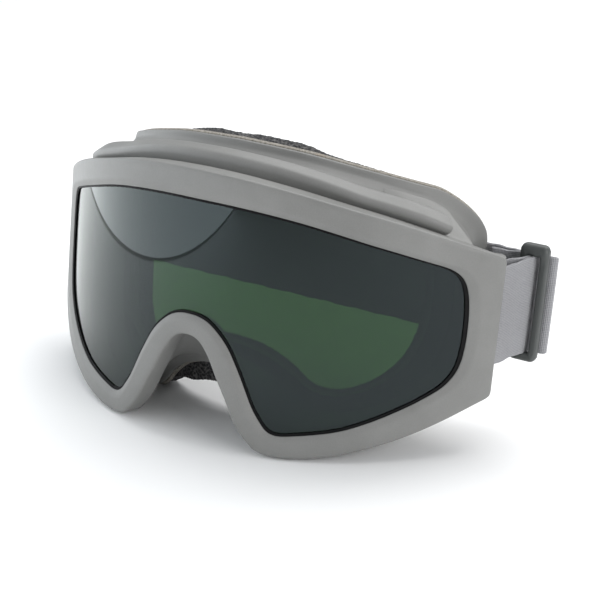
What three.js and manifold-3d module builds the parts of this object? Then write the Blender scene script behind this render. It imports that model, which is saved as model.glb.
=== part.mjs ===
// Panoramic welding goggles: a soft moulded front frame that clips a curved tinted lens,
// a rear face frame with a flange and foam, indirect vents, and an elastic headband that
// loops round a bar behind each wing and is set with a sliding buckle.
// Millimetres. Design axes before the final tilt: -Y is the front (lens side), +Y is the
// wearer's side, +X is the wearer's left, +Z is up. Origin of the design axes: the middle
// of the front frame's front surface.
import * as THREE from 'three';
import { mergeVertices } from 'three/addons/utils/BufferGeometryUtils.js';
import Module from 'manifold-3d';

const wasm = await Module();
wasm.setup();

// ---- driving dimensions -------------------------------------------------------------
const GAP = 0.3;            // clearance between pieces that touch
const REST_TILT = -6.276;   // degrees: how far the goggles lean back when they stand
const CURVE_2 = 4.666e-3 / 0.862866;          // plan curve of the front: y = C2 x^2 + C4 x^4
const CURVE_4 = 0.675e-7 / 0.862866 ** 3;
const RIM_DEPTH = 8.0;      // front frame, front to back
const WING_PLATE = 3.0;     // thickness of the wings
const LIP = 1.0;            // front lip over the lens, at its edge
const SEAL = [1.3, 1.7];    // depth range of the seal behind the front surface
const LENS = [2.0, 4.2];    // depth range of the lens: 2.2 mm thick
const GROOVE_BACK = 4.6;   // depth of the groove's rear face
const GROOVE = 3.6;         // how deep the lens groove goes into the rim
const LENS_IN_GROOVE = 3.2; // how far the lens reaches into it
const FLANGE_Y0 = 24.6;     // flange front at the middle
const FLANGE_R = 83.5;      // plan radius of the flange
const FLANGE_T = 2.0;
const BACKING_T = 1.2;      // carrier layer under the foam
const FOAM_T = 8.0;         // foam thickness at the middle; thinner at the temples
const STRAP_T = 1.4;        // webbing thickness
const STRAP_Z = [-17.6, 17.0];      // webbing edges along the back
const LOOP_DROP = 2.3;              // how much lower the webbing sits on the wing bars
const BAR = { x: 84.5, y: 56.5, r: 1.8 };
const BACK_RUN_Y = 75.2;    // middle of the webbing behind the face flange
const BUCKLE_Z = [-20.3, 21.2];
const SEGMENTS = { top: 14, side: 6, bottom: 12, nose: 12 };   // steps in each half outline

// ---- outlines, right half, (x, z), from the top middle clockwise to the nose middle ---
const OPENING = {           // edge of the lens opening
  top: [[0, 29.8], [12, 29.6], [24.1, 28.7], [36.4, 27.0], [47.5, 24.5], [56.4, 22.0], [63.7, 19.9], [71.3, 17.3], [77.6, 14.9]],
  side: [[77.6, 14.9], [80.6, 11.8], [82.2, 5.5], [82.75, -4], [82.6, -13], [81.6, -20.5], [79.0, -26.0]],
  bottom: [[79.0, -26.0], [73.6, -30.9], [67.3, -35.5], [59.5, -40.0], [51.3, -43.4], [39.6, -46.0], [33.6, -46.8], [30.2, -45.4]],
  nose: [[30.2, -45.4], [25.7, -39.0], [22.7, -32.8], [19.5, -26.2], [14.7, -18.0], [8.2, -11.9], [3.0, -10.0], [0, -9.9]],
};
const OUTER = {             // outside of the front frame
  top: [[0, 39.8], [12.2, 39.4], [24.1, 38.3], [36.5, 36.4], [49.7, 33.5], [62.7, 30.1], [73.7, 26.3], [81.7, 23.0], [88.4, 20.1], [91.0, 18.7]],
  side: [[91.0, 18.7], [91.0, 0.1], [91.0, -11.5], [91.0, -22.6], [91.0, -29.9]],
  bottom: [[91.0, -29.9], [78.9, -38.9], [67.5, -45.6], [55.5, -50.5], [47.5, -52.6], [39.3, -54.0], [31.5, -54.0], [27.0, -52.8]],
  nose: [[27.0, -52.8], [22.6, -48.3], [19.3, -43.7], [15.8, -36.8], [12.6, -30.9], [8.7, -23.4], [5.6, -19.2], [2.7, -17.4], [0, -17.0]],
};
const FLANGE = {            // outside of the face flange
  top: [[0, 46.9], [15, 46.3], [28.7, 44.9], [46.9, 41.3], [60.8, 37.5], [64.3, 36.0], [68.0, 33.0], [70.8, 29.85]],
  side: [[70.8, 29.85], [73.1, 26.4], [74.5, 23.2], [75.0, 20.1], [74.9, 17], [74.4, 8], [74.2, -8], [73.4, -20], [70.4, -30.5]],
  bottom: [[70.4, -30.5], [64.0, -38.6], [55.5, -45.2], [46.5, -49.4], [38.5, -50.7], [31.5, -49.9], [28.0, -47.4]],
  nose: [[28.0, -47.4], [23.8, -42.6], [18.0, -37.8], [10.5, -35.0], [4.5, -34.0], [0, -33.8]],
};
const FACE = {              // inner edge of the flange: the opening over the face
  top: [[0, 36.5], [20, 35.6], [38, 32.6], [50, 28.6], [56.5, 25.0], [60.0, 21.5]],
  side: [[60.0, 21.5], [62.5, 16.5], [63.6, 10.5], [64.0, 2], [63.8, -8], [62.6, -17], [59.5, -25.5]],
  bottom: [[59.5, -25.5], [54.0, -31.5], [47.5, -35.7], [41.0, -37.6], [35.5, -37.4], [31.0, -35.6], [28.5, -33.4]],
  nose: [[28.5, -33.4], [24.0, -30.2], [18.0, -27.0], [11.0, -24.8], [4.5, -23.9], [0, -23.7]],
};

// ---- small geometry helpers ------------------------------------------------------------
const lerp = (a, b, t) => a + (b - a) * t;
const ORDER = ['top', 'side', 'bottom', 'nose'];

// A whole closed outline from its right half, the same number of points for every outline.
function ring(half) {
  const right = [];
  for (const key of ORDER) {
    const curve = new THREE.SplineCurve(half[key].map(([x, z]) => new THREE.Vector2(x, z)));
    const pts = curve.getSpacedPoints(SEGMENTS[key]);
    pts.slice(right.length ? 1 : 0).forEach((p, i) => right.push({ x: p.x, z: p.y, key }));
  }
  const left = right.slice(1, -1).reverse().map((p) => ({ x: -p.x, z: p.z, key: p.key }));
  return [...right, ...left];
}

const I = ring(OPENING), O = ring(OUTER), F = ring(FLANGE), H = ring(FACE);
const COUNT = I.length;

const frontY = (x) => CURVE_2 * x * x + CURVE_4 * x ** 4;
const frontSlope = (x) => 2 * CURVE_2 * x + 4 * CURVE_4 * x ** 3;

// A point at depth b behind the front surface.
function behind(x, z, b) {
  const a = Math.atan(frontSlope(x));
  return [x - Math.sin(a) * b, frontY(x) + Math.cos(a) * b, z];
}
// A point at depth b behind the flange surface.
function onFlange(x, z, b) {
  const a = Math.asin(Math.min(0.98, Math.abs(x) / FLANGE_R)) * Math.sign(x);
  const y = FLANGE_Y0 + FLANGE_R - Math.sqrt(FLANGE_R ** 2 - x * x);
  return [x - Math.sin(a) * b, y + Math.cos(a) * b, z];
}
// The 2D point k mm from the lens opening towards the frame's outside.
function fromOpening(i, k) {
  const dx = O[i].x - I[i].x, dz = O[i].z - I[i].z, l = Math.hypot(dx, dz);
  return [I[i].x + (dx / l) * k, I[i].z + (dz / l) * k];
}
const rimWidth = (i) => Math.hypot(O[i].x - I[i].x, O[i].z - I[i].z);
// 1 in the wings, 0 along the top and bottom, with a ramp over the corners.
function wing(i) {
  const t = THREE.MathUtils.smoothstep(Math.abs(O[i].x), 80, 89.5);
  return t;
}

// Skins a closed row of sections (each a closed loop of points) into a ring-shaped solid.
function skin(sections) {
  const n = sections.length, m = sections[0].length, pos = [], index = [];
  for (const s of sections) for (const p of s) pos.push(...p);
  for (let i = 0; i < n; i++) {
    const j = (i + 1) % n;
    for (let k = 0; k < m; k++) {
      const l = (k + 1) % m;
      const a = i * m + k, b = i * m + l, c = j * m + l, d = j * m + k;
      index.push(a, b, c, a, c, d);
    }
  }
  return closed(pos, index);
}
// Skins an open row of sections with a flat cap on each end.
function bar(sections) {
  const n = sections.length, m = sections[0].length, pos = [], index = [];
  for (const s of sections) for (const p of s) pos.push(...p);
  for (let i = 0; i < n - 1; i++) {
    for (let k = 0; k < m; k++) {
      const l = (k + 1) % m;
      const a = i * m + k, b = i * m + l, c = (i + 1) * m + l, d = (i + 1) * m + k;
      index.push(a, b, c, a, c, d);
    }
  }
  for (let k = 1; k < m - 1; k++) {
    index.push(0, k + 1, k);
    const e = (n - 1) * m;
    index.push(e, e + k, e + k + 1);
  }
  return closed(pos, index);
}
function volume(pos, index) {
  let v = 0;
  const a = new THREE.Vector3(), b = new THREE.Vector3(), c = new THREE.Vector3();
  for (let t = 0; t < index.length; t += 3) {
    a.fromArray(pos, index[t] * 3); b.fromArray(pos, index[t + 1] * 3); c.fromArray(pos, index[t + 2] * 3);
    v += a.dot(b.cross(c));
  }
  return v;
}
// Turns the faces outwards.
function closed(pos, index) {
  if (volume(pos, index) < 0) for (let t = 0; t < index.length; t += 3) [index[t + 1], index[t + 2]] = [index[t + 2], index[t + 1]];
  const g = new THREE.BufferGeometry();
  g.setAttribute('position', new THREE.Float32BufferAttribute(pos, 3));
  g.setIndex(index);
  return g;
}
function solid(geometry) {
  let g = geometry.clone();
  g.deleteAttribute('normal'); g.deleteAttribute('uv');
  g = mergeVertices(g, 1e-4);
  return new wasm.Manifold(new wasm.Mesh({ numProp: 3, vertProperties: new Float32Array(g.attributes.position.array), triVerts: new Uint32Array(g.index.array) }));
}
function geometry(manifold) {
  const m = manifold.getMesh();
  const g = new THREE.BufferGeometry();
  g.setAttribute('position', new THREE.BufferAttribute(new Float32Array(m.vertProperties), 3));
  g.setIndex(new THREE.BufferAttribute(new Uint32Array(m.triVerts), 1));
  return g;
}
// A prism standing on a plan outline [(x, y), ...] between two heights.
function prism(points, [z0, z1], bevel = 0) {
  const shape = new THREE.Shape(points.map(([x, y]) => new THREE.Vector2(x, y)));
  const g = new THREE.ExtrudeGeometry(shape, bevel
    ? { depth: z1 - z0 - 2 * bevel, bevelEnabled: true, bevelThickness: bevel, bevelSize: bevel, bevelOffset: -bevel, bevelSegments: 2 }
    : { depth: z1 - z0, bevelEnabled: false });
  g.translate(0, 0, z0 + bevel);
  g.deleteAttribute('normal'); g.deleteAttribute('uv');
  return mergeVertices(g, 1e-4);
}
// Webbing on edge: a plan path with the webbing's thickness, between two heights. Near the
// wings it sits lower by the given drop.
function webbing(points, steps, z, drop = 0) {
  const curve = new THREE.SplineCurve(points.map(([x, y]) => new THREE.Vector2(x, y)));
  const mid = curve.getSpacedPoints(steps);
  const left = [], right = [];
  mid.forEach((p, i) => {
    const a = mid[Math.max(0, i - 1)], b = mid[Math.min(mid.length - 1, i + 1)];
    const l = Math.hypot(b.x - a.x, b.y - a.y), nx = -(b.y - a.y) / l, ny = (b.x - a.x) / l;
    left.push([p.x + nx * STRAP_T / 2, p.y + ny * STRAP_T / 2]);
    right.push([p.x - nx * STRAP_T / 2, p.y - ny * STRAP_T / 2]);
  });
  const g = prism([...left, ...right.reverse()], z), p = g.attributes.position;
  for (let i = 0; i < p.count; i++) p.setZ(i, p.getZ(i) - drop * (1 - THREE.MathUtils.smoothstep(p.getY(i), 57, 67.5)));
  return g;
}

// ---- front frame: rim, wings, lens groove, strap bars -------------------------------------
function rimSection(i) {
  const w = wing(i), width = rimWidth(i);
  const back = lerp(Math.min(5.6, width - 1.2), 4.6, w);
  const at = (k, b) => { const [x, z] = fromOpening(i, k); return behind(x, z, b); };
  return [
    at(0, 0.55), at(2.0, 0), at(width - 1.2, 0), at(width, 1.1),
    at(width - 0.02, lerp(RIM_DEPTH, WING_PLATE, w)),
    at(lerp(back + 0.7, back + 0.5, w), lerp(RIM_DEPTH, WING_PLATE, w)),
    at(back, RIM_DEPTH), at(0.9, RIM_DEPTH), at(0.9, GROOVE_BACK), at(GROOVE, GROOVE_BACK), at(GROOVE, LIP), at(0, LIP),
  ];
}
let frame = solid(skin(I.map((_, i) => rimSection(i))));
for (const s of [1, -1]) {
  const turn = (pts) => (s > 0 ? pts : pts.map(([x, y]) => [-x, y]).reverse());
  // lugs that join the bar to the wing, and the bar itself
  const lug = turn([[89.2, 53.0], [87.9, 57.4], [85.4, 59.3], [82.6, 58.2], [82.0, 55.6], [84.6, 48.6], [86.5, 49.5]]);
  for (const z of [[15.9, 18.2], [-25.6, -23.0]]) frame = frame.add(solid(prism(lug, z)));
  const pin = new THREE.CylinderGeometry(BAR.r, BAR.r, 40.6, 16);
  pin.rotateX(Math.PI / 2);
  pin.translate(s * BAR.x, BAR.y, (16.9 - 23.7) / 2);
  frame = frame.add(solid(pin));
}

// ---- lens and seal --------------------------------------------------------------------------
const sealRing = skin(I.map((_, i) => {
  const at = (k, b) => { const [x, z] = fromOpening(i, k); return behind(x, z, b); };
  return [at(-1.1, SEAL[0]), at(LENS_IN_GROOVE, SEAL[0]), at(LENS_IN_GROOVE, SEAL[1]), at(-1.1, SEAL[1])];
}));

// The lens is a curved sheet: columns across its width, each from its lower to its upper edge.
const edge = I.map((_, i) => fromOpening(i, LENS_IN_GROOVE - 0.4));
const half = edge.slice(0, COUNT / 2 + 1);
const xMost = Math.max(...half.map((p) => p[0])), turnAt = half.findIndex((p) => p[0] === xMost);
function edgeZ(pts, x) {
  for (let i = 0; i < pts.length - 1; i++) {
    const [a, b] = [pts[i], pts[i + 1]];
    if ((a[0] - x) * (b[0] - x) <= 0 && a[0] !== b[0]) return lerp(a[1], b[1], (x - a[0]) / (b[0] - a[0]));
  }
  return pts[pts.length - 1][1];
}
const upper = half.slice(0, turnAt + 1), lower = half.slice(turnAt).reverse();
const columns = [];
for (let k = -22; k <= 22; k++) columns.push(Math.sign(k) * (xMost - 0.02) * Math.sin((Math.abs(k) / 22) * Math.PI / 2));
const ROWS = 5;
const lensSheet = bar(columns.map((x) => {
  const top = edgeZ(upper, Math.abs(x)), low = edgeZ(lower, Math.abs(x)), loop = [];
  for (let r = 0; r <= ROWS; r++) loop.push(behind(x, lerp(low, top, r / ROWS), LENS[0]));
  for (let r = ROWS; r >= 0; r--) loop.push(behind(x, lerp(low, top, r / ROWS), LENS[1]));
  return loop;
}));

// ---- rear face frame: wall and flange ---------------------------------------------------------
const wallStart = (i) => lerp(Math.min(7.2, rimWidth(i) - 1.8), 3.2, wing(i));
const wall = skin(I.map((_, i) => {
  const k = wallStart(i);
  const at = (q, b) => { const [x, z] = fromOpening(i, q); return behind(x, z, b); };
  const on = (t, b) => onFlange(lerp(F[i].x, H[i].x, t), lerp(F[i].z, H[i].z, t), b);
  const out0 = at(k, RIM_DEPTH + GAP), in0 = at(k - 2, RIM_DEPTH + GAP);
  const out1 = on(0.34, -2.2), in1 = on(0.58, -1.4);
  const mix = (a, b, t) => a.map((v, j) => lerp(v, b[j], t));
  return [out0, mix(out0, out1, 0.5), out1, on(0.2, -0.5), on(0.02, 0), on(0, FLANGE_T / 2), on(0.02, FLANGE_T),
    on(1, FLANGE_T), on(1, 0.2), on(0.75, 0), in1, mix(in0, in1, 0.5), in0];
}));

// ---- foam and its carrier -------------------------------------------------------------------------
// The foam reaches below the flange over the nose and stands a little proud of it on the brow;
// beside the temples it stays clear of the headband.
const drop = (i) => (F[i].z < -30 ? 7.9 * (1 - THREE.MathUtils.smoothstep(Math.abs(F[i].x), 14, 30)) : 0);
const brow = (i) => (F[i].z > 0 ? 1.3 * (1 - THREE.MathUtils.smoothstep(Math.abs(F[i].x), 30, 42)) : 0);
const pull = (i) => 0.16 * THREE.MathUtils.smoothstep(Math.abs(F[i].x), 71.5, 74.2);
const ringWidth = (i) => Math.hypot(H[i].x - F[i].x, H[i].z - F[i].z);
const padT = (i) => lerp(FOAM_T, 6.2, THREE.MathUtils.smoothstep(Math.abs(F[i].x), 35, 72));
const B0 = FLANGE_T + GAP, B1 = B0 + BACKING_T, P0 = B1 + GAP;
const backing = skin(I.map((_, i) => {
  const on = (t, b) => onFlange(lerp(F[i].x, H[i].x, t), lerp(F[i].z, H[i].z, t), b);
  return [on(0.01, B0), on(0.98, B0), on(0.98, B1), on(0.01, B1)];
}));
const pad = skin(I.map((_, i) => {
  const on = (t, b) => onFlange(lerp(F[i].x, H[i].x, t), lerp(F[i].z, H[i].z, t), b);
  const t = padT(i);
  const d = drop(i) / ringWidth(i), e = d + brow(i) / ringWidth(i) - pull(i);
  const p = P0 + 0.1 + 2.5 * pull(i);
  return [on(0.98, p), on(0.01 - d + pull(i), p), on(-0.04 - e, P0 + t * 0.55), on(0.06 - e, P0 + t), on(0.95, P0 + t), on(1.1, P0 + t * 0.6)];
}));

// ---- vents: slots through the wall, each row under a filter and a hood ----------------------------------
// A point over the wall at the outline position u (a real number), t of the way from the front
// frame to the flange, and lifted off the wall.
function wallAt(u, t, lift) {
  const at = (n) => {
    const i = ((n % COUNT) + COUNT) % COUNT;
    const [x0, z0] = fromOpening(i, wallStart(i));
    const a = behind(x0, z0, RIM_DEPTH + GAP);
    const f = onFlange(lerp(F[i].x, H[i].x, 0.34), lerp(F[i].z, H[i].z, 0.34), -2.2);
    const dx = O[i].x - I[i].x, dz = O[i].z - I[i].z, l = Math.hypot(dx, dz);
    return [lerp(a[0], f[0], t) + (dx / l) * lift, lerp(a[1], f[1], t), lerp(a[2], f[2], t) + (dz / l) * lift];
  };
  const n = Math.floor(u), p = at(n), q = at(n + 1);
  return p.map((v, j) => lerp(v, q[j], u - n));
}
const rows = (from, to, section) => {
  const out = [];
  for (let u = from; u <= to + 1e-9; u++) out.push(section(u, Math.min(u - from, to - u)));
  return bar(out);
};
function hood(from, to, height, t0, t1) {
  const h = (end) => height * Math.min(1, Math.sqrt((end + 0.6) / 2.6));
  const outside = rows(from, to, (u, e) => [wallAt(u, t0, GAP + 0.05), wallAt(u, t0 - 0.02, h(e) * 0.75), wallAt(u, t0 + 0.08, h(e)),
    wallAt(u, t1 - 0.1, h(e) * 0.86), wallAt(u, t1, h(e) * 0.6), wallAt(u, t1, GAP + 0.05)]);
  const inside = rows(from + 1, to - 1, (u, e) => [wallAt(u, t0 + 0.09, -1), wallAt(u, t0 + 0.09, h(e + 1) - 1.5), wallAt(u, t1 - 0.1, h(e + 1) * 0.86 - 1.5), wallAt(u, t1 - 0.1, -1)]);
  return geometry(solid(outside).subtract(solid(inside)));
}
const filter = (from, to, t0, t1, thick) => rows(from + 1.2, to - 1.2, (u) => [wallAt(u, t0 + 0.14, GAP + 0.05), wallAt(u, t0 + 0.14, thick), wallAt(u, t1 - 0.15, thick), wallAt(u, t1 - 0.15, GAP + 0.05)]);
function slots(body, from, to, t0, t1) {
  for (let u = from + 1; u < to - 1.5; u += 1) {
    const cut = bar([u + 0.62, u + 1.38].map((v) => [wallAt(v, t0 + 0.2, -4.5), wallAt(v, t0 + 0.2, 1.5), wallAt(v, t1 - 0.2, 1.5), wallAt(v, t1 - 0.2, -4.5)]));
    body = body.subtract(solid(cut));
  }
  return body;
}
const TOP = SEGMENTS.top, LOW = TOP + SEGMENTS.side;
const VENTS = [
  ['top_vent', -(TOP - 3), TOP - 3, 5.1, 0.17, 0.66, 1.7],
  ['bottom_vent', LOW + 3, LOW + SEGMENTS.bottom - 2, 3.7, 0.2, 0.66, 1.2, '_left'],
  ['bottom_vent', COUNT - LOW - SEGMENTS.bottom + 2, COUNT - LOW - 3, 3.7, 0.2, 0.66, 1.2, '_right'],
];
let faceFrame = solid(wall);
for (const [, from, to, , t0, t1] of VENTS) faceFrame = slots(faceFrame, from, to, t0, t1);

// ---- assembly ------------------------------------------------------------------------------------------
const goggles = new THREE.Group();
const grey = { color: 0x8b8b8a, roughness: 0.55, metalness: 0 };
function add(name, geometryOf, look) {
  const mesh = new THREE.Mesh(geometryOf, new THREE.MeshStandardMaterial(look));
  mesh.name = name;
  goggles.add(mesh);
  return mesh;
}
add('lens_frame', geometry(frame), grey);
add('lens', lensSheet, { color: 0x2c3531, roughness: 0.08, metalness: 0, transparent: true, opacity: 0.85 });
add('lens_seal', sealRing, { color: 0x101112, roughness: 0.6, metalness: 0 });
add('face_frame', geometry(faceFrame), grey);
add('foam_backing', backing, { color: 0xb9b3a8, roughness: 0.95, metalness: 0 });
add('foam_pad', pad, { color: 0x4a4a4a, roughness: 1, metalness: 0 });

for (const [name, from, to, height, t0, t1, thick, side = ''] of VENTS) {
  add(`${name}_cover${side}`, hood(from, to, height, t0, t1), grey);
  add(`${name}_filter${side}`, filter(from, to, t0, t1, thick), { color: 0x2b2b2c, roughness: 1, metalness: 0 });
}

// webbing
const web = { color: 0x97979c, roughness: 0.9, metalness: 0 };
add('strap_band', webbing([[93.95, 72.25], [94.05, 72.75], [94.75, 73.4], [96.4, 73.5], [98.3, 73.4], [99.55, 74.3], [98.3, 75.3], [94, 75.35], [80, BACK_RUN_Y], [40, BACK_RUN_Y], [0, BACK_RUN_Y], [-40, BACK_RUN_Y], [-80, BACK_RUN_Y], [-92, 75.3], [-97.4, 74.9], [-99.3, 72.6], [-97.2, 69.6], [-94.6, 66.9], [-92.7, 64.5]], 110, STRAP_Z, LOOP_DROP), web);
const AROUND = (s, from, to, n) => Array.from({ length: n + 1 }, (_, k) => {
  const a = lerp(from, to, k / n) * Math.PI / 180, r = BAR.r + 0.35 + STRAP_T / 2;
  return [s * (BAR.x + r * Math.cos(a)), BAR.y + r * Math.sin(a)];
});
add('strap_side_left', webbing([[93.95, 71.6], [93.9, 69.6], [92.9, 66.3], [90.2, 61.4], ...AROUND(1, -32, -228, 8), [85.6, 61.5], [89.6, 65.0], [91.6, 67.5], [92.2, 69.6], [92.2, 71.6]], 56, STRAP_Z, LOOP_DROP), web);
add('strap_side_right', webbing([[-92.5, 64.15], [-90.2, 60.6], ...AROUND(-1, -32, -228, 8), [-85.4, 61.0], [-88.2, 63.6], [-90.2, 65.9]], 40, STRAP_Z, LOOP_DROP), web);
add('strap_tail', webbing([[92.2, 72.25], [92.05, 72.7], [91.3, 73.3], [89.6, 73.4], [86, 72.5], [81, 70.9], [77.3, 70.2]], 16, STRAP_Z), web);

// buckle: two bars joined by a head and a foot, with a slot for both layers of webbing
const plate = solid(prism([[88.0, 68.7], [98.4, 68.7], [98.4, 71.7], [88.0, 71.7]], BUCKLE_Z, 0.6));
const slot = solid(prism([[90.9, 60], [95.3, 60], [95.3, 80], [90.9, 80]], [-17.9, 17.5]));
add('buckle', geometry(plate.subtract(slot)), { color: 0x565956, roughness: 0.5, metalness: 0 });

// The goggles lean back on the lobes of the rim and of the foam.
goggles.rotation.x = REST_TILT * Math.PI / 180;
goggles.updateMatrixWorld(true);
const box = new THREE.Box3().setFromObject(goggles, true);
goggles.position.set(-(box.min.x + box.max.x) / 2, -(box.min.y + box.max.y) / 2, -box.min.z);
goggles.updateMatrixWorld(true);

export default goggles;
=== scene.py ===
# Looks of the panoramic welding goggles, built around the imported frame.
# Shapes are worked out in millimetres in the goggles' own axes (-Y front, +X the wearer's
# left, +Z up, before they lean back at rest) and placed in the shared frame in metres.
import math

import bpy
import numpy as np
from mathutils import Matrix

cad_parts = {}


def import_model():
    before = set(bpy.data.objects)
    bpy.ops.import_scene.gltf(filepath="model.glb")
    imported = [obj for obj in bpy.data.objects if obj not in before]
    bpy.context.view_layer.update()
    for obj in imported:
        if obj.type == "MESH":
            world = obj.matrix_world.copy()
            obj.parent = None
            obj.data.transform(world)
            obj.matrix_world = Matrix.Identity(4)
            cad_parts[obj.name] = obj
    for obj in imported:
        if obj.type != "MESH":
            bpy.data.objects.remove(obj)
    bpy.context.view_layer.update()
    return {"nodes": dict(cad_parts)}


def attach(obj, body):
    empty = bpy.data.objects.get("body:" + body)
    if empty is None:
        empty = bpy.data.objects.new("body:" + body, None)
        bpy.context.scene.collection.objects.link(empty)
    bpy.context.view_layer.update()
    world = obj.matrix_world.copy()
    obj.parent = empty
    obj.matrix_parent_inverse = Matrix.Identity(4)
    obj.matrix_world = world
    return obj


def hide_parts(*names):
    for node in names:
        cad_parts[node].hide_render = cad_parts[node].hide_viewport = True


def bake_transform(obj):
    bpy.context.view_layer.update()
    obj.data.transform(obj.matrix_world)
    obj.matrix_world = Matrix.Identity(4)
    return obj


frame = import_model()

rng = np.random.default_rng(7)

# ---- from the goggles' own axes to the shared frame ------------------------------------------
TILT = math.radians(-6.276)
SHIFT = np.array([0.0922623, -37.4820391, 55.4372746])


def world(p):
    p = np.asarray(p, float)
    c, s = math.cos(TILT), math.sin(TILT)
    q = np.stack([p[..., 0], c * p[..., 1] - s * p[..., 2], s * p[..., 1] + c * p[..., 2]], -1)
    return (q + SHIFT) / 1000.0


# ---- camera, floor and lights ------------------------------------------------------------------
def look(back, right, up, place):
    from mathutils import Matrix
    m = Matrix.Identity(4)
    for r in range(3):
        m[r][0], m[r][1], m[r][2], m[r][3] = right[r], up[r], back[r], place[r]
    return m


cam_data = bpy.data.cameras.new("camera")
cam_data.sensor_width = 36.0
cam_data.lens = 94.0
cam_data.clip_start = 0.01
cam_data.clip_end = 50.0
cam = bpy.data.objects.new("camera", cam_data)
bpy.context.scene.collection.objects.link(cam)
BACK = np.array([0.46538923, -0.80788963, 0.36156218])
RIGHT = np.array([0.86021591, 0.50903642, 0.0301747])
UP = np.array([-0.20842615, 0.29697856, 0.93185958])
cam.matrix_world = look(BACK, RIGHT, UP, (0.27582, -0.44212, 0.24113))
bpy.context.scene.camera = cam

scene = bpy.context.scene
scene.view_settings.view_transform = "Standard"
scene.view_settings.look = "None"
scene.view_settings.exposure = 0.0
scene.view_settings.gamma = 1.0

w = bpy.data.worlds.new("studio")
w.use_nodes = True
bg = w.node_tree.nodes["Background"]
bg.inputs["Color"].default_value = (0.93, 0.965, 1.0, 1)
bg.inputs["Strength"].default_value = 0.3
scene.world = w


def area(name, place, target, size, power, colour=(1, 1, 1), size_y=None):
    from mathutils import Vector
    d = bpy.data.lights.new(name, "AREA")
    d.shape = "RECTANGLE"
    d.size = size
    d.size_y = size_y or size
    d.energy = power
    d.color = colour
    o = bpy.data.objects.new(name, d)
    o.location = place
    direction = Vector(target) - Vector(place)
    o.rotation_euler = direction.to_track_quat("-Z", "Y").to_euler()
    scene.collection.objects.link(o)
    return o


area("key_above", (0.0, 0.62, 1.25), (0, 0, 0.03), 1.3, 19.0)
area("fill_front", (0.5, -1.5, 0.5), (0, 0, 0.04), 0.9, 0.5)
area("side_right", (1.1, -0.25, 0.45), (0, 0, 0.04), 0.7, 7.5)
area("rim_back", (0.45, 1.2, 0.9), (0, 0, 0.04), 0.8, 4.0)
# a low white card on the left, seen in the lens
card = area("card_left", (-0.25, -0.28, 0.167), (0.4, -0.16, 0.167), 0.9, 1.8, (0.93, 0.97, 1.0), 0.33)
card.visible_camera = False


# ---- outlines --------------------------------------------------------------------------------------
OPENING = {
    "top": [[0, 29.8], [12, 29.6], [24.1, 28.7], [36.4, 27.0], [47.5, 24.5], [56.4, 22.0], [63.7, 19.9], [71.3, 17.4], [78.0, 15.1]],
    "side": [[78.0, 15.1], [81.4, 12.0], [83.1, 5.5], [83.7, -4], [83.5, -13], [82.4, -20.5], [79.4, -26.2]],
    "bottom": [[79.4, -26.2], [73.8, -31.0], [67.3, -35.5], [59.5, -40.0], [51.3, -43.4], [39.6, -46.0], [33.6, -46.8], [30.2, -45.4]],
    "nose": [[30.2, -45.4], [25.7, -39.0], [22.7, -32.8], [19.5, -26.2], [14.7, -18.0], [8.2, -11.9], [3.0, -10.0], [0, -9.9]],
}
OUTER = {
    "top": [[0, 39.8], [12.2, 39.4], [24.1, 38.3], [36.5, 36.4], [49.7, 33.5], [62.7, 30.1], [73.7, 26.3], [81.7, 23.0], [88.4, 20.1], [91.0, 18.7]],
    "side": [[91.0, 18.7], [91.0, 0.1], [91.0, -11.5], [91.0, -22.6], [91.0, -29.9]],
    "bottom": [[91.0, -29.9], [78.9, -38.9], [67.5, -45.6], [55.5, -50.5], [47.5, -52.6], [39.3, -54.0], [31.5, -54.0], [27.0, -52.8]],
    "nose": [[27.0, -52.8], [22.6, -48.3], [19.3, -43.7], [15.8, -36.8], [12.6, -30.9], [8.7, -23.4], [5.6, -19.2], [2.7, -17.4], [0, -17.0]],
}
FLANGE = {
    "top": [[0, 46.9], [15, 46.3], [28.7, 44.9], [46.9, 41.3], [60.8, 37.5], [64.3, 36.0], [68.0, 33.0], [70.8, 29.85]],
    "side": [[70.8, 29.85], [73.1, 26.4], [74.5, 23.2], [75.1, 20.1], [75.1, 17], [74.5, 8], [74.2, -8], [73.4, -20], [70.4, -30.5]],
    "bottom": [[70.4, -30.5], [64.0, -38.6], [55.5, -45.2], [46.5, -49.4], [38.5, -50.7], [31.5, -49.9], [28.0, -47.4]],
    "nose": [[28.0, -47.4], [23.8, -42.6], [18.0, -37.8], [10.5, -35.0], [4.5, -34.0], [0, -33.8]],
}
FACE = {
    "top": [[0, 36.5], [20, 35.6], [38, 32.6], [50, 28.6], [56.5, 25.0], [60.0, 21.5]],
    "side": [[60.0, 21.5], [62.5, 16.5], [63.6, 10.5], [64.0, 2], [63.8, -8], [62.6, -17], [59.5, -25.5]],
    "bottom": [[59.5, -25.5], [54.0, -31.5], [47.5, -35.7], [41.0, -37.6], [35.5, -37.4], [31.0, -35.6], [28.5, -33.4]],
    "nose": [[28.5, -33.4], [24.0, -30.2], [18.0, -27.0], [11.0, -24.8], [4.5, -23.9], [0, -23.7]],
}
STEPS = {"top": 14, "side": 6, "bottom": 12, "nose": 12}
MULT = 6
COUNT = 88
N = COUNT * MULT


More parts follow.
